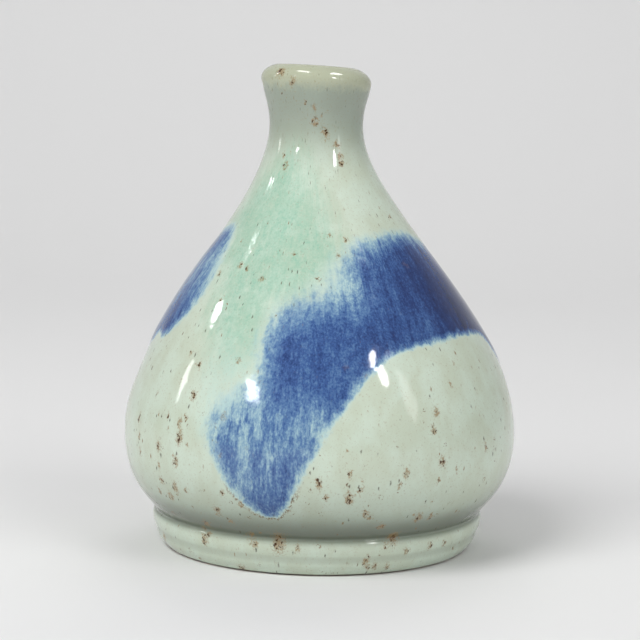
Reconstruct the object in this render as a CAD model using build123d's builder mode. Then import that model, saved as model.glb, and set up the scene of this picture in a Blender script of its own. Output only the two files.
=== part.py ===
from build123d import *

import os

# A small wheel-thrown bud vase: one fired stoneware pot and the glazes melted onto it.
#
# Frame: the origin is on the pot's axis, at the surface it stands on. +Z is up, and the long
# tongue of the blue glaze hangs down the front, which faces -Y.
#
# Profiles are drawn with x as the radius and y as the height, and are then turned about +Z.
# The wall is drawn as one line, from the foot up the outside, over the lip and down the inside
# to the middle of the floor, so the glaze always lies on its right-hand side.

os.makedirs("parts", exist_ok=True)

# Driving dimensions, in millimetres and degrees. Radii and heights are those of the fired clay.

# The foot, a turned ring that stands out a little under the belly.
foot_radius = 42.6
foot_taper = 1.3
foot_height = 8.0
foot_ring_width = 6.0
foot_edge_round = 0.7
foot_shoulder_round = 0.8
foot_shoulder_turn = 62.0
crease_opening = 0.5
crease_turn = 93.0
recess_depth = 3.0
recess_round = 1.5
glaze_line = 1.1

# The outside, as stations. Each rise is counted from the station below it.
heel_radius = 47.15
heel_rise = 8.5
belly_radius = 50.55
belly_rise = 12.5
hip_radius = 46.05
hip_rise = 19.0
shoulder_radius = 35.7
shoulder_rise = 18.0
slope_radius = 22.95
slope_rise = 18.0
throat_radius = 15.2
throat_rise = 12.5
collar_radius = 12.55
collar_rise = 6.5
neck_radius = 11.6
neck_rise = 6.4
lip_radius = 13.65
lip_rise = 11.6
lip_flare = 0.2
crown_radius = 9.9
crown_rise = 3.5

# The wall, measured level at each station, the mouth and the floor.
belly_wall = 4.7
hip_wall = 4.9
shoulder_wall = 5.4
slope_wall = 5.6
throat_wall = 4.9
collar_wall = 4.2
neck_wall = 3.5
mouth_radius = 8.4
mouth_depth = 3.0
floor_radius = 27.0
floor_thickness = 6.5

# The glazes.
glaze_thickness = 0.5
blue_thickness = 0.4
green_thickness = 0.25

# Edges of the poured glazes, as (across, height above the shoulder station) seen from the front.
# A pour that passes round a side of the pot has its front and back halves meet at these points.
right_top = (25.0, 14.3)
right_bottom = (45.0, -16.3)
left_top = (-26.0, 13.0)
left_bottom = (-41.5, -10.0)

sweep_edge = [
    (19.3, 16.7),
    (10.2, 14.7),
    (6.5, 10.5),
    (2.7, 2.0),
    (-4.7, 0.0),
    (-14.0, -3.2),
    (-18.3, -10.3),
    (-26.6, -22.4),
    (-27.5, -29.5),
    (-23.9, -38.8),
    (-18.8, -44.6),
    (-12.0, -49.2),
    (-5.5, -42.3),
    (1.1, -28.9),
    (9.8, -17.4),
    (22.0, -9.8),
    (35.2, -8.4),
    (40.5, -10.5),
]
patch_edge = [
    (-22.7, 14.5),
    (-24.5, 9.2),
    (-28.9, 4.5),
    (-36.8, -6.3),
    (-39.6, -9.8),
]
back_upper_edge = [
    (20.0, 16.5),
    (8.0, 15.0),
    (-5.0, 12.0),
    (-20.0, 15.5),
]
back_lower_edge = [
    (-34.0, -13.0),
    (-22.0, -26.0),
    (-12.0, -12.0),
    (1.0, -8.0),
    (12.0, -20.0),
    (20.0, -36.0),
    (28.0, -22.0),
    (38.0, -15.0),
]
wash_edge = [
    (-8.0, 37.0),
    (3.5, 36.0),
    (4.9, 23.0),
    (9.0, 12.0),
    (4.0, -12.0),
    (-21.5, -12.0),
    (-24.3, -8.0),
    (-26.7, -2.0),
    (-26.3, 4.0),
    (-23.6, 12.0),
    (-19.0, 22.0),
    (-14.0, 31.0),
    (-8.0, 37.0),
]

# How far the pours are cut out past the belly, and how many pieces the long lines are drawn in.
cutter_allowance = 10.0
side_pieces = 12
hollow_pieces = 8

# Headings, as (outward, up).
inward = (-1.0, 0.0)
downward = (0.0, -1.0)

# Heights that follow from the stations.
heel_height = foot_height + heel_rise
belly_height = heel_height + belly_rise
hip_height = belly_height + hip_rise
shoulder_height = hip_height + shoulder_rise
slope_height = shoulder_height + slope_rise
throat_height = slope_height + throat_rise
collar_height = throat_height + collar_rise
neck_height = collar_height + neck_rise
lip_height = neck_height + lip_rise
crown_height = lip_height + crown_rise
mouth_height = crown_height - mouth_depth
floor_height = recess_depth + floor_thickness

foot_base_radius = foot_radius - foot_taper
foot_ring_inside = foot_base_radius - foot_ring_width
glaze_line_radius = foot_base_radius + foot_taper * glaze_line / foot_height
cutter_reach = belly_radius + cutter_allowance


def flow(points, first_heading, last_heading, pieces=1):
    """Draw a smooth line through points as tangent arcs, two to a piece, and list the arcs."""
    guide = Spline(
        *points,
        tangents=(first_heading, last_heading),
        tangent_scalars=(1, 1),
        mode=Mode.PRIVATE,
    )
    arcs = []
    for piece in range(pieces):
        start, end = guide @ (piece / pieces), guide @ ((piece + 1) / pieces)
        leaving, arriving = guide % (piece / pieces), guide % ((piece + 1) / pieces)
        chord = end - start
        along = chord.dot(leaving + arriving)
        bend = 2 * (1 - leaving.dot(arriving))
        reach = chord.length**2 / (along + (along**2 + bend * chord.length**2) ** 0.5)
        middle = (start + leaving * reach + end - arriving * reach) / 2
        arcs.append(TangentArc(start, middle, tangent=leaving))
        arcs.append(TangentArc(middle, end, tangent=arcs[-1] % 1))
    return arcs


def beside(edges, distance):
    """Draw lines and arcs again, at one distance from them on their right, and list them."""
    drawn = []
    for edge in edges:
        start, middle, end = [
            edge @ share + Vector((edge % share).Y, -(edge % share).X) * distance
            for share in (0, 0.5, 1)
        ]
        if edge.geom_type == GeomType.LINE:
            drawn.append(Line(start, end))
        else:
            drawn.append(ThreePointArc(start, middle, end))
    return drawn


def at_shoulder(points):
    """Heights above the shoulder station, as heights above the surface the pot stands on."""
    return [(across, shoulder_height + height) for across, height in points]


# The wall's outside, from the glaze line on the foot to the crown of the lip.

with BuildLine() as outside:
    foot_wall = Line((glaze_line_radius, glaze_line), (foot_radius, foot_height))
    foot_shoulder = JernArc(foot_wall @ 1, foot_wall % 1, foot_shoulder_round, foot_shoulder_turn)
    crease_round = glaze_thickness + crease_opening
    crease = JernArc(foot_shoulder @ 1, foot_shoulder % 1, crease_round, -crease_turn)
    side = flow(
        [
            crease @ 1,
            (heel_radius, heel_height),
            (belly_radius, belly_height),
            (hip_radius, hip_height),
            (shoulder_radius, shoulder_height),
            (slope_radius, slope_height),
            (throat_radius, throat_height),
            (collar_radius, collar_height),
            (neck_radius, neck_height),
            (lip_radius, lip_height),
        ],
        crease % 1,
        (lip_flare, 1),
        side_pieces,
    )
    lip_roll = flow([side[-1] @ 1, (crown_radius, crown_height)], side[-1] % 1, inward)

# The wall's inside, from the crown of the lip to the middle of the floor.

with BuildLine() as inside:
    mouth = flow([lip_roll[-1] @ 1, (mouth_radius, mouth_height)], inward, downward)
    hollow = flow(
        [
            mouth[-1] @ 1,
            (neck_radius - neck_wall, neck_height),
            (collar_radius - collar_wall, collar_height),
            (throat_radius - throat_wall, throat_height),
            (slope_radius - slope_wall, slope_height),
            (shoulder_radius - shoulder_wall, shoulder_height),
            (hip_radius - hip_wall, hip_height),
            (belly_radius - belly_wall, belly_height),
        ],
        downward,
        downward,
        hollow_pieces,
    )
    basin = flow([hollow[-1] @ 1, (floor_radius, floor_height)], downward, inward)
    floor = Line(basin[-1] @ 1, (0, floor_height))

# Clay body: the fired stoneware, with a bare ring to stand on and a recess turned under the floor.

with BuildPart() as clay_body:
    with BuildSketch(Plane.XZ):
        with BuildLine():
            add(outside.line)
            add(inside.line)
            FilletPolyline(
                (glaze_line_radius, glaze_line),
                (foot_base_radius, 0),
                (foot_ring_inside, 0),
                (foot_ring_inside, recess_depth),
                (0, recess_depth),
                radius=(foot_edge_round, foot_edge_round, recess_round),
            )
            Line((0, recess_depth), (0, floor_height))
        make_face()
    revolve(axis=Axis.Z)
clay_body.part.label = "clay_body"
export_step(clay_body.part, "parts/clay_body.step")

# Cream glaze: the coat over the whole outside, which ends above the edge that the pot stands on.

with BuildPart() as cream_glaze:
    with BuildSketch(Plane.XZ):
        with BuildLine():
            add(outside.line)
            coat = beside([foot_wall, foot_shoulder, crease] + side + lip_roll, glaze_thickness)
            Line(foot_wall @ 0, coat[0] @ 0)
            Line(lip_roll[-1] @ 1, coat[-1] @ 1)
        make_face()
    revolve(axis=Axis.Z)
cream_glaze.part.label = "cream_glaze"
export_step(cream_glaze.part, "parts/cream_glaze.step")

# Liner glaze: the coat over the whole inside, which meets the cream glaze on the crown.

with BuildPart() as liner_glaze:
    with BuildSketch(Plane.XZ):
        with BuildLine():
            add(inside.line)
            coat = beside(mouth + hollow + basin + [floor], glaze_thickness)
            Line(mouth[0] @ 0, coat[0] @ 0)
            Line(floor @ 1, coat[-1] @ 1)
        make_face()
    revolve(axis=Axis.Z)
liner_glaze.part.label = "liner_glaze"
export_step(liner_glaze.part, "parts/liner_glaze.step")

# Blue glaze: a second glaze poured round the shoulder, over the cream. It runs down the front in
# a long tongue, passes the right side, crosses the back and ends in a patch on the left.

with BuildPart() as blue_extent:
    with BuildSketch(Plane.XZ):
        with BuildLine():
            sweep = Spline(*at_shoulder([right_top] + sweep_edge + [right_bottom]))
            Polyline(
                sweep @ 1,
                (cutter_reach, shoulder_height + right_bottom[1]),
                (cutter_reach, shoulder_height + right_top[1]),
                sweep @ 0,
            )
        make_face()
        with BuildLine():
            patch = Spline(*at_shoulder(patch_edge))
            Polyline(
                patch @ 1,
                at_shoulder([left_bottom])[0],
                (-cutter_reach, shoulder_height + left_bottom[1]),
                (-cutter_reach, shoulder_height + left_top[1]),
                at_shoulder([left_top])[0],
                patch @ 0,
            )
        make_face()
    extrude(amount=cutter_reach)
    with BuildSketch(Plane.XZ):
        with BuildLine():
            upper = Spline(*at_shoulder([right_top] + back_upper_edge + [left_top]))
            lower = Spline(*at_shoulder([left_bottom] + back_lower_edge + [right_bottom]))
            Polyline(
                upper @ 1,
                (-cutter_reach, shoulder_height + left_top[1]),
                (-cutter_reach, shoulder_height + left_bottom[1]),
                lower @ 0,
            )
            Polyline(
                lower @ 1,
                (cutter_reach, shoulder_height + right_bottom[1]),
                (cutter_reach, shoulder_height + right_top[1]),
                upper @ 0,
            )
        make_face()
    extrude(amount=-cutter_reach)

with BuildPart() as blue_glaze:
    with BuildSketch(Plane.YZ):
        with BuildLine():
            seat = beside(side, glaze_thickness)
            coat = beside(side, glaze_thickness + blue_thickness)
            Line(seat[0] @ 0, coat[0] @ 0)
            Line(seat[-1] @ 1, coat[-1] @ 1)
        make_face()
    revolve(axis=Axis.Z)
    add(blue_extent.part, mode=Mode.INTERSECT)
blue_glaze.part.label = "blue_glaze"
export_step(blue_glaze.part, "parts/blue_glaze.step")

# Green glaze: a thin wash from the throat down the front, which the edge of the blue meets.

with BuildPart() as green_extent:
    with BuildSketch(Plane.XZ):
        with BuildLine():
            Spline(*at_shoulder(wash_edge))
        make_face()
    extrude(amount=cutter_reach)
    add(blue_extent.part, mode=Mode.SUBTRACT)

with BuildPart() as green_glaze:
    with BuildSketch(Plane.YZ):
        with BuildLine():
            seat = beside(side, glaze_thickness)
            coat = beside(side, glaze_thickness + green_thickness)
            Line(seat[0] @ 0, coat[0] @ 0)
            Line(seat[-1] @ 1, coat[-1] @ 1)
        make_face()
    revolve(axis=Axis.Z)
    add(green_extent.part, mode=Mode.INTERSECT)
green_glaze.part.label = "green_glaze"
export_step(green_glaze.part, "parts/green_glaze.step")
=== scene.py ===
import math

import bpy
import numpy as np
from mathutils import Matrix, Vector


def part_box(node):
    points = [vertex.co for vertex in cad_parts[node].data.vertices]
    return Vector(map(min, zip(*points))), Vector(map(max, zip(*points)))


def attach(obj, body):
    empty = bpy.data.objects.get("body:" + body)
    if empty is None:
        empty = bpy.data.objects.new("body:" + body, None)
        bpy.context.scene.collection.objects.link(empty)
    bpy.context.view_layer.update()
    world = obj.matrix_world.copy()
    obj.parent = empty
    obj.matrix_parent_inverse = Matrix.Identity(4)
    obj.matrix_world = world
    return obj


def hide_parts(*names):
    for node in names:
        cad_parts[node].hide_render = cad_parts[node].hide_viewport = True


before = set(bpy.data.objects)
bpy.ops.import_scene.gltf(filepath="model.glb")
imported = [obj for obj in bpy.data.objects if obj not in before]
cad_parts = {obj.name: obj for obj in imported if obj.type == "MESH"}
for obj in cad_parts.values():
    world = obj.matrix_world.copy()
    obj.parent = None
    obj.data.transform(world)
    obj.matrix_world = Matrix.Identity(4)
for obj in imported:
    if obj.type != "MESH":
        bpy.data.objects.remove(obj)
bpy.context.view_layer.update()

# A wheel-thrown bud vase. The clay, the liner and the cream coat are turned again here as fine
# meshes, each from the line of its own solid in the frame, and the two poured glazes are shells
# laid on the cream. So the lean of the pot, the small waves of the throwing and the thickness of
# every pour can be seen. Lengths are in millimetres until a mesh is made. A turn is an angle about
# the pot's axis in degrees: 0 is the front and 90 is the right.

MM = 0.001

# How finely the surfaces are drawn.
COLUMNS = 400
CLAY_COLUMNS = 200
ROW_LENGTH = 0.85
ROW_BEND = math.radians(7)
INNER_ROW_STEP = 4
FINE_ROWS = 6000
LEAN_ROWS = 400
SEAM_TOLERANCE = 0.004
EDGE_STEPS = 10
CREASE_ANGLE = math.radians(50)

# The coats: how thick the cream is, how far the pours stand above it, how deep their faded edges
# and their undersides lie in it, and how far their meshes reach past their edges.
GLAZE = (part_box("cream_glaze")[1].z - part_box("clay_body")[1].z) / MM
BLUE_RISE = 0.34
GREEN_RISE = 0.14
SUNK = 0.012
KEEL = 0.2
SHELL_MARGIN = 1.0

# The slope of a pour's edge, as (start, shortest, longer for a soft one), and the bead along a
# crisp edge, as (share of the pour's height, distance inside the edge, half width).
POUR_SLOPE = (-0.5, 0.6, 4.2)
BEAD = (0.12, 1.3, 0.7)

# How far the pot leans to the right at each height.
LEANS = [
    (0.0, -0.45), (12.0, -0.3), (22.0, -0.05), (30.0, 0.0), (38.0, 0.05), (47.0, 0.25),
    (57.0, -0.2), (70.0, -0.7), (85.0, -1.1), (100.0, -2.0), (115.0, -2.3), (125.0, -2.5),
]

# How far the lip droops to the right, from which height, and over how much of it.
DROOP = 1.3
DROOP_FROM = 112.0
DROOP_OVER = 9.0

# How far the rim is rolled over: by how much, from which height and which radius, and over what.
ROLL = 0.4
ROLL_FROM = 118.0
ROLL_OVER = 6.0
ROLL_RADIUS = 8.5
ROLL_WIDTH = 5.0

# How the bottom edge of the foot is rounded off, and how far the glaze hangs down round it.
FOOT_ROUND = 2.5
FOOT_ROUND_TOP = 5.2
FOOT_ROUND_RADIUS = 36.0
FOOT_ROUND_WIDTH = 4.0
GLAZE_HANG = 0.75

# The waves left by the throwing, as (height, seed, waves), where a wave is (crests round the pot,
# length up it). The flutes are the glazes' own fine runs, which start and end as (level, over).
WAVES = [
    (0.05, 3, [(2, 90.0), (3, 70.0), (5, 46.0)]),
    (0.05, 14, [(0, 15.0), (0, 23.0), (1, 19.0)]),
    (0.006, 5, [(1, 5.1), (0, 6.7), (2, 4.3)]),
]
FLUTES = (0.01, 8, [(47, 60.0), (61, 45.0), (78, 52.0), (95, 40.0)])
FLUTES_START = (62.0, 14.0)
FLUTES_END = (94.0, 10.0)

# A groove and a ridge turned into the foot, as (level, half width, height).
TURNED_LINES = [(4.6, 0.9, -0.3), (6.6, 1.2, 0.1)]

# The belly, round which the waves are lowered so that the pot keeps its true width, and the
# crown, over which they die out so that the cream meets the liner.
BELLY = 29.0
BELLY_REACH = 14.0
BELLY_CALM = 18.0
CROWN = (117.0, 6.0)

# The radius of the sheet on which the glazes' patterns run, before it is wrapped round the pot.
FLOW_RADIUS = 40.0

# Where the poured glazes end, as (turn, height, width over which the edge fades).
BLUE_EDGE = [
    (-33.0, 39.0, 3.5), (-31.0, 43.5, 4.0), (-26.5, 47.0, 4.0), (-20.5, 50.5, 4.0),
    (-20.5, 56.0, 4.5), (-19.0, 61.8, 5.5), (-13.0, 67.0, 7.0), (-4.0, 69.6, 7.5),
    (3.0, 72.4, 7.0), (8.0, 76.2, 6.0), (13.0, 78.8, 5.5), (19.0, 80.4, 5.0),
    (26.0, 81.8, 4.0), (34.0, 82.2, 3.4), (45.0, 82.8, 3.0), (60.0, 82.8, 3.0),
    (78.0, 80.6, 3.0), (100.0, 79.0, 3.5), (128.0, 81.0, 4.0), (152.0, 78.0, 4.5),
    (176.0, 81.5, 4.0), (204.0, 79.0, 3.5), (232.0, 80.0, 3.0), (262.0, 80.5, 2.5),
    (286.0, 83.5, 2.2), (299.0, 82.0, 2.2), (303.5, 76.5, 2.2), (305.0, 71.0, 2.2),
    (304.5, 66.5, 2.0), (300.5, 61.5, 1.6), (296.0, 58.0, 1.2), (291.0, 55.4, 0.9),
    (284.0, 56.0, 0.8), (277.0, 53.0, 1.0), (262.0, 49.0, 1.2), (248.0, 46.0, 1.4),
    (236.0, 36.0, 2.0), (229.0, 32.0, 1.5), (222.0, 38.0, 1.4), (210.0, 52.0, 1.2),
    (192.0, 57.0, 1.0), (170.0, 54.5, 1.0), (154.0, 45.0, 1.2), (145.0, 31.0, 1.6),
    (138.0, 27.5, 1.2), (131.0, 34.0, 1.2), (121.0, 44.0, 1.0), (108.0, 47.0, 0.8),
    (94.0, 46.5, 0.8), (86.0, 50.5, 0.8), (79.0, 55.5, 0.8), (68.0, 57.6, 0.8),
    (54.0, 57.8, 0.8), (40.0, 56.9, 0.8), (30.0, 56.0, 0.8), (21.0, 53.6, 0.9),
    (12.5, 48.6, 1.1), (7.0, 43.5, 1.3), (2.0, 37.1, 1.4), (-2.5, 30.5, 1.3),
    (-6.5, 23.5, 1.1), (-9.0, 18.6, 0.9), (-12.0, 16.2, 0.9), (-17.0, 16.6, 1.0),
    (-22.5, 20.0, 1.2), (-27.5, 25.5, 1.8), (-31.5, 32.0, 2.6),
]
GREEN_EDGE = [
    (-12.0, 101.0, 6.0), (-32.0, 103.0, 6.0), (-54.0, 99.0, 6.0), (-72.0, 90.0, 6.0),
    (-74.0, 82.0, 6.0), (-54.0, 73.0, 5.0), (-46.0, 64.0, 5.0), (-39.0, 54.0, 5.0),
    (-36.5, 46.0, 5.0), (-35.0, 38.0, 5.0), (-29.0, 36.0, 5.0), (-20.0, 48.0, 5.0),
    (0.0, 58.0, 5.0), (12.0, 66.0, 5.0), (14.0, 76.0, 6.0), (7.0, 86.0, 6.0),
    (0.0, 94.0, 6.0),
]

# Where the blue lies thicker or thinner, as (turn, height, reach, how much).
POOLS = [
    (50.0, 72.0, 11.0, 0.27), (78.0, 64.0, 12.0, 0.4), (60.0, 60.0, 8.0, 0.22),
    (20.0, 60.0, 9.0, 0.1), (-8.0, 56.0, 8.0, 0.08), (9.0, 71.5, 4.0, -0.35),
    (12.0, 66.0, 5.0, -0.18), (-26.0, 44.0, 6.0, -0.32), (-17.0, 37.0, 7.0, -0.16),
    (-4.0, 38.0, 6.0, -0.16), (-20.0, 24.0, 6.0, -0.16), (-10.0, 21.0, 5.0, 0.12),
    (-60.0, 75.0, 5.0, -0.3), (-76.0, 72.0, 9.0, -0.08), (-68.0, 60.0, 5.0, 0.2),
    (150.0, 66.0, 14.0, 0.3), (215.0, 68.0, 14.0, 0.25),
]

# Where the blue is drawn out into streaks, in the same form.
STREAKS = [
    (-24.0, 40.0, 8.0, 0.8), (-14.0, 30.0, 11.0, 0.9), (-2.0, 36.0, 7.0, 0.5),
    (12.0, 70.0, 7.0, 0.5), (-62.0, 70.0, 14.0, 0.9), (34.0, 78.0, 8.0, 0.4),
    (232.0, 44.0, 14.0, 0.9), (138.0, 40.0, 14.0, 0.9),
]


# ---------------------------------------------------------------- lines and their smoothing

def turned_line(node):
    """The line a node was turned from, as (radius, height) along the +X side of its mesh."""
    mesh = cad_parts[node].data
    corners = np.empty(len(mesh.vertices) * 3, np.float32)
    mesh.vertices.foreach_get("co", corners)
    corners = corners.reshape(-1, 3).astype(float) / MM
    ends = np.empty(len(mesh.edges) * 2, np.int32)
    mesh.edges.foreach_get("vertices", ends)
    on_seam = (np.abs(corners[:, 1]) < SEAM_TOLERANCE) & (corners[:, 0] > -SEAM_TOLERANCE)
    places = {i: (round(corners[i, 0], 3), round(corners[i, 2], 3)) for i in np.flatnonzero(on_seam)}
    near = {place: set() for place in places.values()}
    for first, second in ends.reshape(-1, 2):
        if first in places and second in places and places[first] != places[second]:
            near[places[first]].add(places[second])
            near[places[second]].add(places[first])
    here = min(near, key=lambda place: (len(near[place]), place[1]))
    line = [here]
    left = set(near) - {here}
    while left:
        here = min(near[here] & left or left, key=lambda place: math.dist(place, here))
        left.remove(here)
        line.append(here)
    return np.array(line)


def outer_side(line):
    """The part of a closed line from its lowest point, up the outside, to its highest."""
    low = min(range(len(line)), key=lambda i: (line[i, 1], -line[i, 0]))
    line = np.roll(line, -low, axis=0)
    if line[5, 0] < line[-5, 0]:
        line = np.roll(line[::-1], 1, axis=0)
    high = max(range(len(line)), key=lambda i: (line[i, 1], -line[i, 0]))
    return line[:high + 1]


def through(points, count):
    """Points along the smooth curve through a line's points, evenly spaced."""
    points = np.asarray(points, float)
    steps = np.r_[0, np.cumsum(np.linalg.norm(np.diff(points, axis=0), axis=1))]
    gaps = np.diff(steps)
    matrix = np.eye(len(points))
    right = np.zeros(points.shape)
    for i in range(1, len(points) - 1):
        matrix[i, i - 1:i + 2] = gaps[i - 1], 2 * (gaps[i - 1] + gaps[i]), gaps[i]
        before, after = np.diff(points[i - 1:i + 2], axis=0) / gaps[i - 1:i + 1, None]
        right[i] = 6 * (after - before)
    bends = np.linalg.solve(matrix, right)
    places = np.linspace(0, steps[-1], count)
    span = np.clip(np.searchsorted(steps, places) - 1, 0, len(points) - 2)
    gap = gaps[span][:, None]
    ahead = (steps[span + 1] - places)[:, None]
    behind = (places - steps[span])[:, None]
    return (
        (bends[span] * ahead**3 + bends[span + 1] * behind**3) / (6 * gap)
        + (points[span] / gap - bends[span] * gap / 6) * ahead
        + (points[span + 1] / gap - bends[span + 1] * gap / 6) * behind
    )


def spaced(points):
    """A line drawn again with rows that lie closer together where it bends."""
    fine = through(points, FINE_ROWS)
    steps = np.diff(fine, axis=0)
    headings = np.unwrap(np.arctan2(steps[:, 1], steps[:, 0]))
    bends = np.abs(np.gradient(headings))
    each = np.maximum(np.hypot(*steps.T) / ROW_LENGTH, bends / ROW_BEND)
    cost = np.r_[0, np.cumsum(each)]
    wanted = np.linspace(0, cost[-1], int(cost[-1]) + 2)
    return np.stack([np.interp(wanted, cost, fine[:, axis]) for axis in range(2)], 1)


def outward(line):
    """The unit normals on a line's right-hand side, which is the outside of the pot."""
    headings = np.gradient(line, axis=0)
    headings /= np.hypot(*headings.T)[:, None]
    return np.stack([headings[:, 1], -headings[:, 0]], 1)


def shelf(values, start, over):
    """0 below a value, 1 once past it, and smooth between."""
    share = np.clip((values - start) / over, 0, 1)
    return share * share * (3 - 2 * share)


# ---------------------------------------------------------------- the pot's outside, as a grid

skin = spaced(outer_side(turned_line("cream_glaze")))
skin_out = outward(skin)
skin_run = np.r_[0, np.cumsum(np.hypot(*np.diff(skin, axis=0).T))]
turns = np.linspace(-180, 180, COLUMNS, endpoint=False)
levels = skin[:, 1][:, None]
lip_reach = skin[skin[:, 1] > DROOP_FROM, 0].max()
lean_line = through(LEANS, LEAN_ROWS)


def settled(places):
    """Move points of a true pot to where they lie on the real one, which leans and droops."""
    x, y, z = places.T
    edge = (1 - z / FOOT_ROUND_TOP).clip(0, 1) ** 2 * FOOT_ROUND
    radius = np.hypot(x, y)
    pull = 1 - edge * shelf(radius, FOOT_ROUND_RADIUS, FOOT_ROUND_WIDTH) / radius.clip(1)
    droop = DROOP * shelf(z, DROOP_FROM, DROOP_OVER) * ((x + lip_reach) / (2 * lip_reach)) ** 2
    rolled = shelf(z, ROLL_FROM, ROLL_OVER) * shelf(radius, ROLL_RADIUS, ROLL_WIDTH)
    droop += ROLL * rolled
    return np.stack([x * pull + np.interp(z, *lean_line.T), y * pull, z - droop], 1)


def around(radius, height, bearings=turns):
    """A ring of points for every row: an array of rows, columns and x, y, z."""
    angle = np.radians(bearings)
    radius = np.broadcast_to(radius, (len(radius), len(bearings)))
    height = np.broadcast_to(height, radius.shape)
    return np.stack([radius * np.sin(angle), -radius * np.cos(angle), height], 2)


def ripple(waves, seed):
    """Small waves over the grid, as (waves round the pot, length of a wave up it)."""
    draw = np.random.default_rng(seed)
    total = np.zeros((len(skin), COLUMNS))
    for round_pot, length in waves:
        phase, drift = draw.uniform(0, 2 * np.pi, 2)
        up = 2 * np.pi * skin_run[:, None] / length + drift
        total += np.cos(np.radians(turns) * round_pot + phase) * np.cos(up)
    return total / len(waves) ** 0.5


def unevenness():
    """How far the thrown skin stands out from its true line at each point of the grid."""
    relief = sum(height * ripple(waves, seed) for height, seed, waves in WAVES)
    for level, half_width, height in TURNED_LINES:
        relief += height * np.exp(-(((levels - level) / half_width) ** 2))
    height, seed, waves = FLUTES
    fluted = shelf(levels, *FLUTES_START) * (1 - shelf(levels, *FLUTES_END))
    relief += height * ripple(waves, seed) * fluted
    highest = relief[abs(skin[:, 1] - BELLY) < BELLY_REACH].max()
    relief -= highest * np.exp(-(((levels - BELLY) / BELLY_CALM) ** 2))
    return relief * (1 - shelf(levels, *CROWN))


relief = unevenness()


def coat(rise):
    """The grid of the pot's outside, moved out from the cream glaze by a rise at each point."""
    rise = relief + rise
    return around(skin[:, :1] + rise * skin_out[:, :1], levels + rise * skin_out[:, 1:])


surface = coat(0.0)


# ---------------------------------------------------------------- the edges of the poured glazes

def closed_curve(corners):
    """A smooth closed curve through an edge's corners, which may wind round the pot."""
    corners = np.array(corners)
    looped = np.concatenate([corners[-3:], corners, corners[:3]])
    fine = through(looped, EDGE_STEPS * len(looped))
    first = np.linalg.norm(fine - corners[0], axis=1)[:len(fine) // 2].argmin()
    last = len(fine) // 2 + np.linalg.norm(fine - corners[0], axis=1)[len(fine) // 2:].argmin()
    return fine[first:last]


def lies_inside(curve):
    """Which points of the grid lie inside a closed curve of turns and heights."""
    inside = np.zeros(surface.shape[:2], bool)
    for bearings in (turns, turns + 360):
        for start, end in zip(curve, np.roll(curve, -1, axis=0)):
            crossed = (start[1] > levels) != (end[1] > levels)
            rise = (end[1] - start[1]) or 1.0
            at = start[0] + (levels - start[1]) / rise * (end[0] - start[0])
            inside ^= crossed & (bearings < at)
    return inside


def from_edge(corners):
    """How far each point of the grid is inside an edge, and how softly the edge fades near it."""
    curve = closed_curve(corners)
    radius = np.interp(curve[:, 1], skin[:, 1], skin[:, 0])
    angle = np.radians(curve[:, 0])
    edge = np.stack([radius * np.sin(angle), -radius * np.cos(angle), curve[:, 1]], 1)
    distance = np.empty(surface.shape[:2])
    fade = np.empty(surface.shape[:2])
    for row, places in enumerate(surface):
        apart = ((places[:, None] - edge) ** 2).sum(2)
        weight = 1 / (apart + 1.0) ** 2
        distance[row] = np.sqrt(apart.min(1))
        fade[row] = (weight * curve[:, 2]).sum(1) / weight.sum(1)
    return np.where(lies_inside(curve), distance, -distance), fade


inside_blue, blue_fade = from_edge(BLUE_EDGE)
inside_green, green_fade = from_edge(GREEN_EDGE)
inside_green = np.minimum(inside_green, SHELL_MARGIN - inside_blue)


def blots(places):
    """Soft blots over the grid, given as (turn, height, reach, how much)."""
    total = np.zeros(surface.shape[:2])
    for turn, height, reach, amount in places:
        radius = np.interp(height, skin[:, 1], skin[:, 0])
        middle = around([radius], [height], np.array([turn]))[0, 0]
        total += amount * np.exp(-((surface - middle) ** 2).sum(2) / reach**2)
    return total


pooled = blots(POOLS)
streaked = blots(STREAKS).clip(0, 1)


# ---------------------------------------------------------------- meshes

def piece(name, places, faces, finish, layers=None):
    """Make a piece of the vase from points in millimetres, and let it ride on the pot."""
    mesh = bpy.data.meshes.new(name)
    mesh.from_pydata((settled(places) * MM).tolist(), [], faces)
    for layer, values in (layers or {}).items():
        data = mesh.attributes.new(layer, "FLOAT_VECTOR", "POINT").data
        data.foreach_set("vector", np.ascontiguousarray(values, np.float32).ravel())
    mesh.materials.append(finish)
    mesh.update()
    mesh.shade_smooth()
    mesh.set_sharp_from_angle(angle=CREASE_ANGLE)
    made = bpy.data.objects.new(name, mesh)
    bpy.context.scene.collection.objects.link(made)
    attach(made, "root")
    return made


def bands(rows, columns, closed):
    """The faces between rings of points, and from the last ring to the first if it is closed."""
    faces = []
    for row in range(rows if closed else rows - 1):
        low, high = row * columns, (row + 1) % rows * columns
        for here in range(columns):
            after = (here + 1) % columns
            faces.append((low + here, low + after, high + after, high + here))
    return faces


def shell(rise, keel, keep):
    """A thin closed shell over part of the grid: its points, faces and the grid point of each."""
    rows, columns = keep.shape
    corners = keep | np.roll(keep, -1, axis=1)
    corners = corners[:-1] | corners[1:]
    top, bottom = coat(rise).reshape(-1, 3), coat(keel).reshape(-1, 3)
    used = {}
    faces = []
    sides = {}
    for row, here in zip(*np.nonzero(corners)):
        after = (here + 1) % columns
        ring = [(row, here), (row, after), (row + 1, after), (row + 1, here)]
        ring = [used.setdefault(r * columns + c, len(used)) for r, c in ring]
        faces.append(ring)
        for start, end in zip(ring, ring[1:] + ring[:1]):
            if sides.pop((end, start), None) is None:
                sides[start, end] = True
    grid = np.array(list(used))
    size = len(grid)
    faces += [[size + corner for corner in reversed(ring)] for ring in faces]
    faces += [[end, start, size + start, size + end] for start, end in sides]
    return np.concatenate([top[grid], bottom[grid]]), faces, np.r_[grid, grid]


# ---------------------------------------------------------------- finishes

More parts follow.
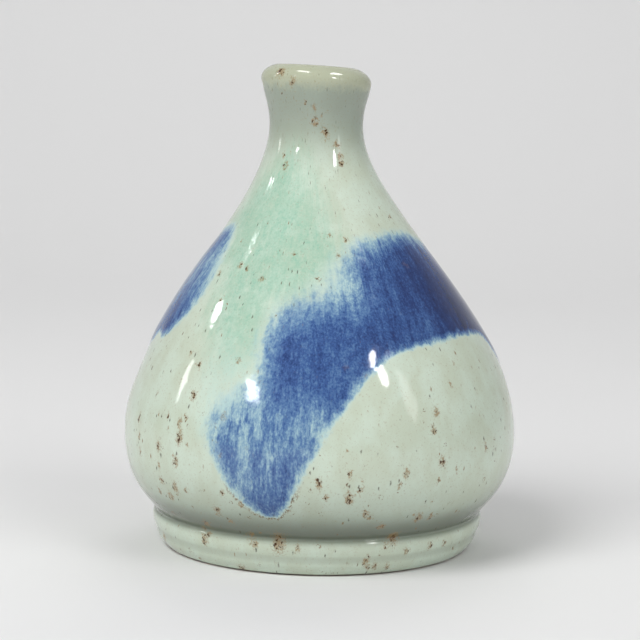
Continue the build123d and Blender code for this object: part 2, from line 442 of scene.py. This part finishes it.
def paint(red, green, blue):
    """A colour as a maker would mix it on a screen, in the lamps' own scale."""
    channels = [channel / 255 for channel in (red, green, blue)]
    return [c / 12.92 if c <= 0.04045 else ((c + 0.055) / 1.055) ** 2.4 for c in channels] + [1.0]


CREAM = paint(206, 220, 204)
WARM_CREAM = paint(199, 210, 191)
BUFF = paint(184, 186, 160)
# Painted shade: the grey laid over the cream of the neck.
NECK_PAINTED_SHADE = paint(142, 151, 139)
LIP_TAN = paint(186, 190, 164)
# Painted shade: the greys of the low belly, the crease and the foot's groove; the crease and groove
# greys also stand for glaze pooled there.
BELLY_PAINTED_SHADE = paint(136, 146, 132)
CREASE_SHADE_AND_POOL = paint(84, 90, 78)
GROOVE_SHADE_AND_POOL = paint(150, 158, 142)
PALE_MINT = paint(196, 224, 216)
MINT = paint(146, 195, 172)
LINER_CREAM = paint(210, 217, 200)
LINER_BUFF = paint(200, 203, 181)
LINER_TAN = paint(186, 178, 146)

# The blue, from where it is thinnest to where it is thickest.
BLUES = [
    (0.0, paint(202, 221, 214)),
    (0.13, paint(182, 209, 208)),
    (0.29, paint(137, 170, 192)),
    (0.45, paint(93, 128, 171)),
    (0.62, paint(60, 92, 148)),
    (0.78, paint(41, 63, 116)),
    (1.0, paint(28, 42, 84)),
]

# Iron in the glazes.
IRON_CORE = paint(74, 50, 31)
IRON_HALO = paint(152, 122, 80)
IRON_BROWN = paint(120, 92, 58)
BURST_RIM = paint(126, 106, 78)
DARK_DASH = paint(78, 72, 56)
RUST_DASH = paint(140, 110, 70)

# The bare clay.
CLAY = paint(198, 174, 142)
DARK_CLAY = paint(172, 142, 108)
CLAY_GRIT = paint(140, 110, 80)
PALE_CLAY = paint(214, 194, 164)
CLAY_IRON = paint(92, 60, 38)

# The heights over which painted shade greys the cream on the neck, the cream turns tan on the lip,
# painted shade darkens the belly towards the crease, painted shade and pooled glaze darken the crease
# and fade out again, and the green deepens. The last two are the middle of the foot's groove and
# where the iron under the blue dies out.
NECK_TURN = (96.0, 113.0)
LIP_TURN = (117.6, 121.4)
BELLY_SHADE = (9.0, 27.0)
BELLY_END = (7.5, 9.5)
CREASE_SHADE_STARTS = (8.6, 10.2)
CREASE_SHADE_ENDS = (10.6, 18.0)
GREEN_DEEPENS = (44.0, 62.0)
GROOVE = 4.5
IRON_FADES = (19.0, 26.0)

# The heights over which the liner turns tan.
LINER_TURN = (120.0, 124.0)


class Tone:
    """A number, direction or colour that changes over a surface, as a socket of its finish."""

    def __init__(self, finish, socket):
        self.finish = finish
        self.socket = socket

    def math(self, operation, *others):
        return self.finish.add("ShaderNodeMath", [self, *others], operation=operation)

    def __add__(self, other):
        return self.math("ADD", other)

    def __sub__(self, other):
        return self.math("SUBTRACT", other)

    def __rsub__(self, other):
        return self.finish.add("ShaderNodeMath", [other, self], operation="SUBTRACT")

    def __mul__(self, other):
        return self.math("MULTIPLY", other)

    def __truediv__(self, other):
        return self.math("DIVIDE", other)

    __radd__ = __add__
    __rmul__ = __mul__

    def between(self, low, high):
        """0 where the tone is at the low end, 1 where it is at the high end, smooth between."""
        settings = {"interpolation_type": "SMOOTHSTEP"}
        return self.finish.add("ShaderNodeMapRange", [self, low, high], **settings)

    def parts(self):
        """The three parts of a direction or a colour."""
        node = self.finish.add("ShaderNodeSeparateXYZ", [self]).socket.node
        return [Tone(self.finish, output) for output in node.outputs]


class Finish:
    """A material, whose nodes are added through one method."""

    def __init__(self, name, **constants):
        self.material = bpy.data.materials.new(name)
        self.material.use_nodes = True
        self.nodes = self.material.node_tree.nodes
        self.links = self.material.node_tree.links
        self.shader = self.nodes["Principled BSDF"]
        for name, value in constants.items():
            name = name.replace("_", " ").title().replace("Ior", "IOR")
            self.shader.inputs[name].default_value = value

    def add(self, kind, inputs=(), output=0, stops=None, **settings):
        """Add a node: its settings first, then the values or tones of its inputs."""
        node = self.nodes.new(kind)
        for name, value in settings.items():
            setattr(node, name, value)
        if stops:
            ramp = node.color_ramp
            while len(ramp.elements) < len(stops):
                ramp.elements.new(0.5)
            for element, (position, colour) in zip(ramp.elements, stops):
                element.position = position
                element.color = colour
        inputs = inputs if isinstance(inputs, dict) else dict(enumerate(inputs))
        for name, value in inputs.items():
            if isinstance(value, Tone):
                self.links.new(value.socket, node.inputs[name])
            else:
                node.inputs[name].default_value = value
        return Tone(self, node.outputs[output])

    def layer(self, name):
        """Values that a mesh carries at its points."""
        return self.add("ShaderNodeAttribute", output="Vector", attribute_name=name)

    def vector(self, operation, *values, **settings):
        """A sum, product or other measure of directions and places."""
        return self.add("ShaderNodeVectorMath", values, operation=operation, **settings)

    def place(self):
        """Where each point of a piece is, in millimetres."""
        metres = self.add("ShaderNodeTexCoord", output="Object")
        scale = {0: metres, "Scale": 1 / MM}
        return self.add("ShaderNodeVectorMath", scale, operation="SCALE")

    def scaled(self, place, wide, tall, shift):
        """A place measured in a pattern's widths and heights, from another corner of the pattern."""
        return self.vector("MULTIPLY_ADD", place, (1 / wide, 1 / wide, 1 / tall), (shift,) * 3)

    def marks(self, flow, wide, tall, detail=2.0, rough=0.5, shift=0.0):
        """Cloudy marks around 0.5, so many millimetres wide and tall."""
        settings = {"Scale": 1.0, "Detail": detail, "Roughness": rough}
        settings["Vector"] = self.scaled(flow, wide, tall, shift)
        return self.add("ShaderNodeTexNoise", settings)

    def blend(self, below, above, amount):
        """One colour laid over another by an amount from 0 to 1."""
        inputs = {0: amount, 6: below, 7: above}
        return self.add("ShaderNodeMix", inputs, output=2, data_type="RGBA")

    def wear(self, colour, roughness, height=None, depth=0.1):
        """Give the shader what changes over the surface. The depth is in millimetres."""
        for socket, value in (("Base Color", colour), ("Roughness", roughness)):
            if isinstance(value, Tone):
                self.links.new(value.socket, self.shader.inputs[socket])
            else:
                self.shader.inputs[socket].default_value = value
        if height:
            settings = {"Strength": 1.0, "Distance": depth * MM, "Height": height}
            bump = self.add("ShaderNodeBump", settings)
            self.links.new(bump.socket, self.shader.inputs["Normal"])
        return self.material


# Iron flecks that burnt through the glaze, as (turn, height, half width).
FLECKS = [
    (-41.0, 123.3, 1.5), (-25.0, 120.6, 1.0), (-40.0, 117.4, 0.5), (-11.5, 115.2, 0.5),
    (-1.5, 114.0, 0.8), (5.5, 111.8, 0.5), (-1.5, 110.2, 0.9), (11.5, 107.6, 1.1),
    (24.5, 104.6, 1.0), (27.0, 101.8, 0.9), (26.0, 100.0, 0.7), (-37.5, 101.8, 0.7),
    (-40.5, 74.6, 1.0), (-35.5, 74.0, 0.9), (-51.5, 72.2, 0.8), (-48.0, 80.4, 0.7),
    (-13.0, 77.9, 0.8), (-26.0, 72.0, 0.8), (-0.5, 72.3, 0.8), (15.0, 81.7, 0.8),
    (6.0, 82.6, 0.7), (10.5, 77.9, 0.8), (-16.5, 63.9, 0.6), (7.5, 52.3, 0.8),
    (-41.5, 51.0, 0.9), (-46.5, 53.4, 0.7), (-38.5, 65.6, 0.6), (-28.0, 40.0, 1.1),
    (-42.5, 33.5, 1.4), (-44.0, 27.4, 1.3), (-51.5, 21.7, 1.1), (-45.5, 20.3, 1.3),
    (-49.0, 17.6, 1.2), (-31.0, 15.9, 1.4), (-12.5, 8.8, 2.2), (0.0, 25.1, 1.2),
    (8.5, 21.5, 1.3), (11.5, 23.3, 0.9), (8.5, 27.8, 0.8), (24.5, 27.3, 1.0),
    (22.5, 24.4, 0.9), (14.0, 17.4, 1.1), (15.5, 16.2, 0.9), (20.0, 13.3, 1.0),
    (32.0, 15.1, 1.4), (26.0, 9.8, 1.9), (17.0, 4.1, 1.2), (20.5, 2.9, 1.0),
    (41.5, 6.1, 1.0), (35.0, 41.5, 1.1), (33.0, 36.9, 1.0), (36.0, 29.4, 1.3),
    (35.0, 25.0, 0.9), (54.0, 31.3, 1.0), (-22.0, 10.3, 1.2), (-40.0, 7.1, 1.2),
    (122.0, 40.0, 1.2), (150.0, 24.0, 1.4), (165.0, 92.0, 0.9), (190.0, 36.0, 1.3),
    (214.0, 22.0, 1.3), (236.0, 58.0, 0.9), (250.0, 30.0, 1.2), (178.0, 112.0, 0.8),
    (96.0, 22.0, 1.4), (108.0, 12.0, 1.6), (82.0, 36.0, 1.0), (262.0, 16.0, 1.4),
    (-53.5, 38.0, 0.6), (-48.5, 38.0, 0.7), (-41.0, 38.5, 0.7), (-39.5, 31.7, 0.6),
    (-63.0, 31.0, 0.8), (-62.5, 27.0, 0.9), (-52.0, 25.3, 0.8), (-54.5, 18.3, 0.9),
    (-41.0, 20.3, 0.7), (-54.0, 12.1, 0.8), (-38.5, 11.5, 1.1), (-27.5, 13.4, 0.9),
    (-38.5, 8.6, 0.9), (-20.5, 8.0, 1.0), (-6.0, 7.6, 1.0), (-22.5, 18.7, 0.8),
    (42.5, 47.6, 0.7), (8.0, 25.1, 0.6), (36.5, 14.9, 0.9), (23.0, 7.7, 0.7),
    (31.5, 6.0, 0.8), (48.5, 6.0, 0.7),
]

# Flecks and dashes are drawn out up the pot, so heights count for less than widths in them.
FLECK_SQUASH = 0.62
DASH_SQUASH = 0.36

# The heights between which the clay's specks grow sparser.
SPECKS_DENSE = 24.0
SPECKS_SPARSE = 62.0


def warped(finish, place, reach, size, shift):
    """Points shaken about, so that round spots become ragged ones."""
    settings = {"Vector": finish.scaled(place, size, size, shift), "Scale": 1.0, "Detail": 3.0}
    shake = finish.add("ShaderNodeTexNoise", settings, output="Color")
    shake = finish.vector("SUBTRACT", shake, (0.5, 0.5, 0.5))
    return finish.vector("MULTIPLY_ADD", shake, (reach,) * 3, place)


def fleck_field(finish, place):
    """How near each point is to an iron fleck: 0 in its middle and 1 at its rim."""
    nearest = None
    for turn, height, reach in FLECKS:
        radius = np.interp(height, skin[:, 1], skin[:, 0])
        x, y, z = settled(around([radius], [height], np.array([turn]))[0])[0]
        away = finish.vector("DISTANCE", place, (x, y, z * FLECK_SQUASH), output="Value") / reach
        nearest = nearest.math("MINIMUM", away) if nearest else away
    return nearest


def cells(finish, place, size, shift):
    """Scattered spots: how far each point is from the nearest, and that spot's own random tones."""
    settings = {"Vector": finish.scaled(place, size, size, shift), "Scale": 1.0}
    away = finish.add("ShaderNodeTexVoronoi", settings)
    lot = Tone(finish, away.socket.node.outputs["Color"]).parts()
    return away, lot


def speckled(finish, colour, place, flow, height, strength, placed=True):
    """Lay the iron specks of the clay over a glaze colour."""
    ragged = warped(finish, place, 2.6, 1.6, 11.0)
    ragged = finish.vector("MULTIPLY", ragged, (1, 1, FLECK_SQUASH))
    narrow = finish.vector("MULTIPLY", warped(finish, flow, 0.5, 0.7, 3.0), (1, 1, DASH_SQUASH))
    dots = finish.marks(place, 0.42, 0.5, 2.0, 0.6, 23.0)
    pits = finish.marks(place, 0.6, 0.8, 2.0, 0.5, 57.0)
    low = 1 - height.between(SPECKS_DENSE, SPECKS_SPARSE)

    # Broad stains with dark grains in them.
    away, lot = cells(finish, ragged, 5.2, 5.0)
    chosen = (lot[0] - (0.22 + low * 0.42)).between(-0.02, 0.0)
    stain = away / (lot[1] * 0.14 + 0.08) + chosen * 9.0
    if placed:
        stain = stain.math("MINIMUM", fleck_field(finish, ragged))
    heart = 1 - stain.between(0.05, 1.4)
    halo = (heart + (dots - 0.5) * 2.4 - 0.22).math("MAXIMUM", 0.0).math("MINIMUM", 0.75)
    core = (heart + (pits - 0.5) * 3.0).between(0.86, 1.2)

    # Small dark dashes, drawn out by the run of the glaze.
    away, lot = cells(finish, narrow, 1.5, 17.0)
    chosen = 1 - (lot[0] - (0.58 + low * 0.36)).between(-0.02, 0.0)
    dash = (1 - away.between(0.04, lot[1] * 0.1 + 0.12)) * chosen
    rust = lot[2].between(0.45, 0.8)

    # Broken rims of burst bubbles.
    away, lot = cells(finish, warped(finish, place, 0.9, 1.0, 8.0), 3.6, 29.0)
    chosen = 1 - (lot[0] - low * 0.5).between(-0.02, 0.0)
    ring = (away - (lot[1] * 0.1 + 0.1)).math("ABSOLUTE")
    crater = (1 - ring.between(0.01, 0.06)) * chosen * dots.between(0.48, 0.62)

    colour = finish.blend(colour, IRON_HALO, halo * strength)
    colour = finish.blend(colour, BURST_RIM, crater * strength * 0.8)
    spot = finish.blend(DARK_DASH, RUST_DASH, rust)
    colour = finish.blend(colour, spot, dash * strength * 0.85)
    return finish.blend(colour, IRON_CORE, core * strength)


def poured_glaze(name):
    """The glossy glazes of the outside: cream, with the green and the blue where they lie."""
    finish = Finish(name, ior=1.5)
    place = finish.layer("place")
    flow = finish.layer("flow")
    blue, fade, pool = finish.layer("pour").parts()
    green, height, streaky = finish.layer("lie").parts()

    clouds = finish.marks(place, 7.0, 12.0, 3.0)
    wander = warped(finish, flow, 2.4, 9.0, 19.0)
    streaks = finish.marks(wander, 1.0, 8.0, 3.0, 0.65, 7.0)
    ribbons = finish.marks(wander, 2.8, 15.0, 2.0, 0.5, 41.0)
    hairs = finish.marks(wander, 0.5, 3.6, 2.0, 0.6, 83.0)
    grain = finish.marks(place, 0.45, 0.7, 2.0, 0.6, 3.0)
    mottle = finish.marks(place, 1.5, 2.2, 3.0, 0.6, 31.0)

    # The cream: greyed on the neck by painted shade, tan on the lip, darkened on the low belly by
    # painted shade, and darkened in the crease and the groove by painted shade and by glaze pooled
    # there.
    cream = finish.blend(CREAM, WARM_CREAM, clouds.between(0.36, 0.64))
    cream = finish.blend(cream, BUFF, (mottle - 0.42) * (grain - 0.3) * 2.2)
    # Painted shade: the neck is greyed.
    cream = finish.blend(cream, NECK_PAINTED_SHADE, height.between(*NECK_TURN) * 0.8)
    rim = (height + (mottle - 0.5) * 5.0 + (streaks - 0.5) * 2.5).between(*LIP_TURN)
    cream = finish.blend(cream, LIP_TAN, rim * 0.8)
    # Painted shade and pooled glaze: the crease is darkened.
    crease_shade_and_pool_mask = height.between(*CREASE_SHADE_STARTS) * (1 - height.between(*CREASE_SHADE_ENDS))
    # Painted shade: the low belly darkens towards the crease.
    painted_belly_shade = (1 - height.between(*BELLY_SHADE)) * height.between(*BELLY_END)
    cream = finish.blend(cream, BELLY_PAINTED_SHADE, painted_belly_shade * 0.62)
    cream = finish.blend(cream, CREASE_SHADE_AND_POOL, crease_shade_and_pool_mask * 0.78)
    # Painted shade and pooled glaze: the foot's groove is darkened.
    groove_shade_and_pool_mask = 1 - (height - GROOVE).math("ABSOLUTE").between(0.2, 1.3)
    cream = finish.blend(cream, GROOVE_SHADE_AND_POOL, groove_shade_and_pool_mask * 0.35)

    # The green wash.
    soft = green + (streaks - 0.5) * 6.0 + (ribbons - 0.5) * 8.0 + (clouds - 0.5) * 9.0
    soft = soft.between(-5.0, 7.0)
    wash = soft * (0.57 + (streaks - 0.5) * 0.5 + (mottle - 0.5) * 0.8 + (grain - 0.5) * 0.8)
    mint = finish.blend(PALE_MINT, MINT, height.between(*GREEN_DEEPENS))
    colour = finish.blend(cream, mint, wash)

    # The blue, whose thin parts are paler and whose run is drawn out into streaks.
    drift = (ribbons - 0.5) * 0.6 + (streaks - 0.5) * (0.2 + streaky * 0.6)
    drift = drift + (mottle - 0.5) * 0.45
    depth = blue + fade * drift + (mottle - 0.5) * 1.8 + (grain - 0.5) * 0.8
    cover = (depth / (fade * 1.4 + 0.7)).between(-0.6, 1.15)
    light = (streaks - 0.5) * (0.35 + streaky * 0.35) + (ribbons - 0.5) * (0.4 + streaky * 0.5)
    light = light + (hairs - 0.5) * (0.2 + streaky * 0.5)
    body = 0.75 + pool - streaky * 0.17 + light + (grain - 0.5) * 0.6 + (mottle - 0.5) * 0.45
    thin = 0.33 + (grain - 0.5) * 0.4 + (hairs - 0.5) * 0.45
    thick = cover * body.math("MAXIMUM", thin) * 0.8
    tint = finish.add("ShaderNodeValToRGB", [thick], stops=BLUES)
    colour = finish.blend(colour, tint, cover.between(0.0, fade * 0.06 + 0.2))

    # Iron gathered along the lower edge of the pour.
    brink = 1 - (blue + 0.7 + (mottle - 0.5) * 2.4).math("ABSOLUTE").between(0.1, 0.7)
    brink = brink * (1 - height.between(*IRON_FADES)) * grain.between(0.46, 0.56)
    colour = finish.blend(colour, IRON_BROWN, brink * 0.8)

    colour = speckled(finish, colour, place, flow, height, 1 - cover * 0.8)
    peel = finish.marks(place, 3.2, 4.0, 2.0, 0.5, 13.0)
    return finish.wear(colour, 0.06 + mottle * 0.04, peel, 0.04)


def liner_glaze():
    """The glossy pale glaze of the inside, which breaks to tan near the crown."""
    finish = Finish("liner_glaze", ior=1.5)
    place = finish.place()
    height = place.parts()[2]
    clouds = finish.marks(place, 7.0, 12.0, 3.0)
    mottle = finish.marks(place, 1.5, 2.2, 3.0, 0.6, 31.0)
    colour = finish.blend(LINER_CREAM, LINER_BUFF, clouds.between(0.38, 0.62))
    rim = (height + (mottle - 0.5) * 4.0).between(*LINER_TURN)
    colour = finish.blend(colour, LINER_TAN, rim * 0.7)
    colour = speckled(finish, colour, place, place, height, 0.8, placed=False)
    return finish.wear(colour, 0.1, clouds, 0.1)


def fired_clay():
    """The bare clay of the foot: matt, gritty and ringed by the turning tool."""
    finish = Finish("fired_clay", ior=1.45)
    place = finish.place()
    grit = finish.marks(place, 0.6, 0.6, 3.0, 0.7)
    smears = finish.marks(place, 9.0, 3.0, 3.0, 0.6, 5.0)
    x, y, height = place.parts()
    radius = (x * x + y * y).math("SQRT")
    settings = {"W": radius / 1.1, "Scale": 1.0, "Detail": 3.0}
    rings = finish.add("ShaderNodeTexNoise", settings, noise_dimensions="1D")
    colour = finish.blend(CLAY, DARK_CLAY, smears.between(0.38, 0.62))
    colour = finish.blend(colour, CLAY_GRIT, grit.between(0.52, 0.66) * 0.7)
    colour = finish.blend(colour, PALE_CLAY, rings.between(0.5, 0.7) * 0.5)
    away, lot = cells(finish, place, 1.6, 3.0)
    iron = (1 - away.between(0.08, 0.16)) * (1 - lot[0].between(0.3, 0.32))
    colour = finish.blend(colour, CLAY_IRON, iron * 0.9)
    return finish.wear(colour, 0.82, rings + grit * 0.35, 0.25)


# ---------------------------------------------------------------- the pieces of the vase

def layers_at(grid):
    """What the glaze finishes need to know at points of the grid."""
    angle = np.radians(np.broadcast_to(turns, surface.shape[:2]))
    run = np.broadcast_to(skin_run[:, None], angle.shape)
    flow = np.stack([np.sin(angle) * FLOW_RADIUS, -np.cos(angle) * FLOW_RADIUS, run], 2)
    pour = np.stack([inside_blue, blue_fade, pooled], 2)
    height = np.broadcast_to(levels, angle.shape)
    lie = np.stack([inside_green, height, streaked], 2)
    return {
        "place": settled(surface.reshape(-1, 3)[grid]),
        "flow": flow.reshape(-1, 3)[grid],
        "pour": pour.reshape(-1, 3)[grid],
        "lie": lie.reshape(-1, 3)[grid],
    }


def cream_coat():
    """The coat over the whole outside: a fine outer side, a coarse inner one and a rolled edge."""
    hung = -GLAZE_HANG * (1 - skin[:, 1] / FOOT_ROUND_TOP).clip(0)
    rows = np.arange(len(skin) - 1, -1, -INNER_ROW_STEP)
    back = skin[rows] - GLAZE * skin_out[rows]
    back[:, 1] += hung[rows]
    front = surface.copy()
    front[:, :, 2] += hung[:, None]
    middle = (skin[0] + [0, hung[0]] + back[-1]) / 2
    roll = []
    for angle in np.radians([45, 90, 135]):
        across, down = (back[-1] - middle) * math.cos(angle), -math.sin(angle) * GLAZE / 2
        roll.append(middle + across + [0, down])
    inner = np.concatenate([back, roll])
    rings = np.concatenate([front, around(inner[:, :1], inner[:, 1:])])
    grid = np.arange(COLUMNS * len(skin)).reshape(len(skin), COLUMNS)
    grid = np.concatenate([grid, grid[rows], np.repeat(grid[:1], len(roll), axis=0)])
    faces = bands(len(rings), COLUMNS, closed=True)
    made = piece(
        "cream_coat", rings.reshape(-1, 3), faces, poured_glaze("cream_glaze"), layers_at(grid.ravel())
    )
    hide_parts("cream_glaze")


def pour(name, node, inside, fade, rise):
    """A poured glaze that stands a little proud of the cream, with a bead where its edge is crisp."""
    start, shortest, softer = POUR_SLOPE
    full = (rise + SUNK) * shelf(inside, start, shortest + softer * fade)
    share, middle, half_width = BEAD
    bead = share * rise * np.exp(-(((inside - middle) / half_width) ** 2)) / fade.clip(0.5) ** 3
    places, faces, grid = shell(full + bead - SUNK, -KEEL, inside > -SHELL_MARGIN)
    made = piece(name, places, faces, poured_glaze(node), layers_at(grid))
    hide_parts(node)


def turned(name, node, finish):
    """A piece turned from the open line of its node, closed across the pot's axis at both ends."""
    line = turned_line(node)
    line = np.array([[0.0, line[0, 1]], *line, [0.0, line[-1, 1]]])
    bearings = np.linspace(-180, 180, CLAY_COLUMNS, endpoint=False)
    rings = around(line[1:-1, :1], line[1:-1, 1:], bearings).reshape(-1, 3)
    faces = bands(len(line) - 2, CLAY_COLUMNS, closed=False)
    start, end = len(rings), len(rings) + 1
    last = (len(line) - 3) * CLAY_COLUMNS
    for here in range(CLAY_COLUMNS):
        after = (here + 1) % CLAY_COLUMNS
        faces.append((start, after, here))
        faces.append((end, last + here, last + after))
    tips = [[0, 0, line[0, 1]], [0, 0, line[-1, 1]]]
    made = piece(name, np.concatenate([rings, tips]), faces, finish)
    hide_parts(node)


turned("clay_pot", "clay_body", fired_clay())
turned("liner_coat", "liner_glaze", liner_glaze())
cream_coat()
pour("green_wash", "green_glaze", inside_green, green_fade, GREEN_RISE)
pour("blue_pour", "blue_glaze", inside_blue, blue_fade, BLUE_RISE)


# ---------------------------------------------------------------- floor, lamps and camera

# The paper sweep, in metres: how far it reaches, where it starts to rise, how it bends, its top,
# and how far from the pot it glows to the camera, from nothing to fully.
PAPER_REACH = 9.0
PAPER_BENDS_AT = 0.6
PAPER_BEND = 0.7
PAPER_TOP = 2.4
PAPER_GLOWS = (0.4, 3.0)
PAPER = paint(230, 230, 230)
PAPER_GLOW = paint(170, 170, 170)
NO_GLOW = paint(0, 0, 0)

# How bright the air all round is, as it lights the pot and as the camera sees it.
ROOM_LIGHT = 0.28
ROOM_SEEN = 0.72

# What the lamps and the camera are set by, in metres and degrees.
LAMP_AIM = Vector((0, 0, 0.06))
CAMERA_PLACE = (-0.0004, -0.528, 0.121)
CAMERA_DOWN = math.radians(6.74)
CAMERA_TILT = math.radians(1.0)
CAMERA_LENS = 114.5


def studio():
    """A pale sheet that lies under the pot and sweeps up behind it."""
    profile = [(-PAPER_REACH, 0.0), (PAPER_BENDS_AT, 0.0)]
    for angle in np.radians(np.arange(6, 91, 6)):
        along = PAPER_BENDS_AT + PAPER_BEND * math.sin(angle)
        profile.append((along, PAPER_BEND - PAPER_BEND * math.cos(angle)))
    profile.append((PAPER_BENDS_AT + PAPER_BEND, PAPER_TOP))
    corners = [(side, y, z) for y, z in profile for side in (-PAPER_REACH, PAPER_REACH)]
    faces = [(i, i + 1, i + 3, i + 2) for i in range(0, len(corners) - 2, 2)]
    mesh = bpy.data.meshes.new("paper_sweep")
    mesh.from_pydata(corners, [], faces)
    mesh.shade_smooth()
    finish = Finish("pale_paper", emission_strength=1.0)
    metres = finish.add("ShaderNodeTexCoord", output="Object")
    away = finish.vector("LENGTH", metres, output="Value")
    lift = finish.add("ShaderNodeLightPath", output="Is Camera Ray") * away.between(*PAPER_GLOWS)
    glow = finish.blend(NO_GLOW, PAPER_GLOW, lift)
    finish.links.new(glow.socket, finish.shader.inputs["Emission Color"])
    mesh.materials.append(finish.wear(PAPER, 0.9))
    sweep = bpy.data.objects.new("paper_sweep", mesh)
    bpy.context.scene.collection.objects.link(sweep)


def lamp(name, turn, rise, away, size, glow, seen):
    """An oval lamp that faces the pot, and either lights it or is seen mirrored in its glaze."""
    data = bpy.data.lights.new(name, "AREA")
    data.shape = "ELLIPSE"
    data.size, data.size_y = size
    data.energy = glow * math.pi * math.pi * size[0] * size[1] / 4
    made = bpy.data.objects.new(name, data)
    bpy.context.scene.collection.objects.link(made)
    turn, rise = math.radians(turn), math.radians(rise)
    level = math.cos(rise)
    heading = Vector((level * math.sin(turn), -level * math.cos(turn), math.sin(rise)))
    made.location = LAMP_AIM + heading * away
    made.rotation_euler = heading.to_track_quat("Z", "Y").to_euler()
    made.visible_glossy = seen
    made.visible_diffuse = not seen


def surroundings():
    """Soft even light from all round, which is brighter where it is looked at."""
    world = bpy.data.worlds.new("studio")
    world.use_nodes = True
    nodes = world.node_tree.nodes
    nodes["Background"].inputs["Color"].default_value = (1, 1, 1, 1)
    looked_at = nodes.new("ShaderNodeLightPath").outputs["Is Camera Ray"]
    spread = nodes.new("ShaderNodeMapRange")
    spread.inputs["To Min"].default_value = ROOM_LIGHT
    spread.inputs["To Max"].default_value = ROOM_SEEN
    world.node_tree.links.new(looked_at, spread.inputs["Value"])
    world.node_tree.links.new(spread.outputs["Result"], nodes["Background"].inputs["Strength"])
    bpy.context.scene.world = world


def camera():
    """The camera stands in front of the pot and looks a little down on it."""
    data = bpy.data.cameras.new("camera")
    data.lens = CAMERA_LENS
    data.sensor_width = 36.0
    data.clip_start = 0.01
    made = bpy.data.objects.new("camera", data)
    bpy.context.scene.collection.objects.link(made)
    aim = Matrix.Rotation(math.radians(90) - CAMERA_DOWN, 4, "X")
    tilt = Matrix.Rotation(CAMERA_TILT, 4, "Z")
    made.matrix_world = Matrix.Translation(CAMERA_PLACE) @ aim @ tilt
    bpy.context.scene.camera = made


for leftover in [bpy.data.objects.get(name) for name in ("Cube", "Light", "Camera")]:
    if leftover:
        bpy.data.objects.remove(leftover)
bpy.context.scene.view_settings.view_transform = "Standard"
studio()
surroundings()

# Each lamp's bearing, height angle, distance, size, glow, and whether the glaze mirrors it.
lamp("key", -43.0, 45.0, 1.5, (0.9, 0.9), 7.5, seen=False)
lamp("fill", 46.0, 34.0, 1.5, (0.9, 0.9), 3.2, seen=False)
lamp("back", 172.0, 48.0, 1.1, (0.8, 0.5), 2.2, seen=False)
lamp("left_catch", -46.5, 29.6, 0.6, (0.074, 0.024), 30.0, seen=True)
lamp("right_catch", 44.0, 38.5, 0.6, (0.046, 0.14), 30.0, seen=True)
lamp("side_catch", -99.0, 34.5, 0.7, (0.06, 0.045), 24.0, seen=True)
lamp("shoulder_catch", -104.0, 43.2, 0.7, (0.085, 0.014), 26.0, seen=True)
lamp("left_strip", -96.0, 18.0, 0.7, (0.04, 0.12), 8.0, seen=True)
lamp("left_top", -66.0, 76.0, 0.8, (0.36, 0.16), 12.0, seen=True)
lamp("right_top", 88.0, 65.0, 0.8, (0.36, 0.2), 12.0, seen=True)
lamp("window", 57.0, 26.0, 0.9, (0.1, 0.4), 2.5, seen=True)
camera()
